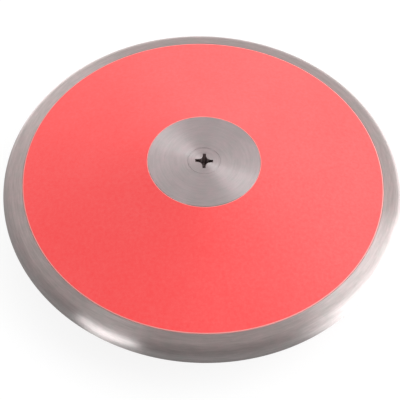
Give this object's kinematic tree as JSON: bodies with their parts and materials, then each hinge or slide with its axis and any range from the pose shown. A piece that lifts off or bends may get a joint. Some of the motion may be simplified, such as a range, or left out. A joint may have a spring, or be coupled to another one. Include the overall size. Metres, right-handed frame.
{
  "type": "discus",
  "caption": "Throwing discus for track and field: a turned steel rim with ribbed plastic side plates, clamped between two flush steel centre plates by countersunk screws.",
  "frame": {"origin": "centre of the discus: on its axis and its mid plane, half-way between the two flat faces", "axes": "+Z along the axis of the discus, out of the upper face, which is the one the picture shows; +X to the right in the picture, along one of the ribs inside the side plates; +Y away from the camera"},
  "size_m": [0.181, 0.181, 0.038],
  "materials": {
    "rim_steel": "turned, fine concentric tool marks, satin",
    "red_plastic": "moulded, satin with a very fine grain",
    "center_plate_steel": "faced on a lathe, fine concentric tool marks, satin",
    "screw_steel": "head faced flush with the centre plate, recess dark",
    "core_steel": "plain turned",
    "washer_steel": "zinc plated, dull"
  },
  "bodies": {
    "root": {"rim": "rim_steel", "upper_side_plate": "red_plastic", "lower_side_plate": "red_plastic", "upper_center_plate": "center_plate_steel", "lower_center_plate": "center_plate_steel", "upper_center_screw": "screw_steel", "lower_center_screw": "screw_steel", "threaded_core": "core_steel", "weight_washer_1": "washer_steel", "weight_washer_2": "washer_steel", "weight_washer_3": "washer_steel"}
  },
  "joints": []
}
